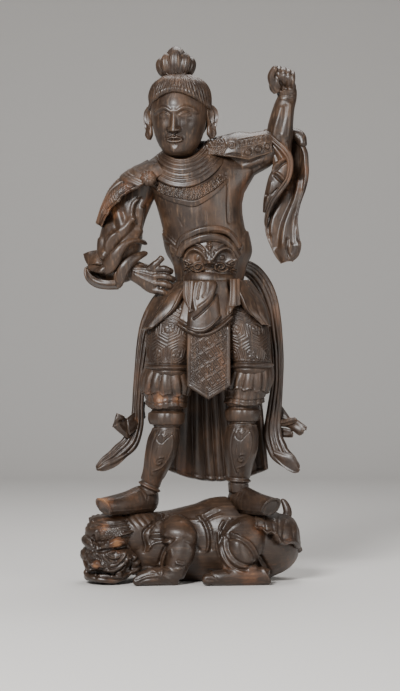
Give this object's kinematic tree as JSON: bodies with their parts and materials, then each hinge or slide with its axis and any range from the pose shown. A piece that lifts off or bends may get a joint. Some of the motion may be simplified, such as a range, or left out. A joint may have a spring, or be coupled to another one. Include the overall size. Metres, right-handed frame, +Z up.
{
  "type": "lokapala figure",
  "caption": "Carved wooden guardian king in armour, one fist raised and one hand on the hip, standing on a crouching lion-dog plinth.",
  "frame": {"origin": "on the ground, under the middle of the whole work", "axes": "+Z up, -Y the way the guardian faces, +X to the side of the raised fist"},
  "size_m": [0.3428, 0.1588, 0.8],
  "materials": {
    "dark_wood": "satin"
  },
  "bodies": {
    "root": {"guardian": "dark_wood", "beast_plinth": "dark_wood"}
  },
  "joints": []
}
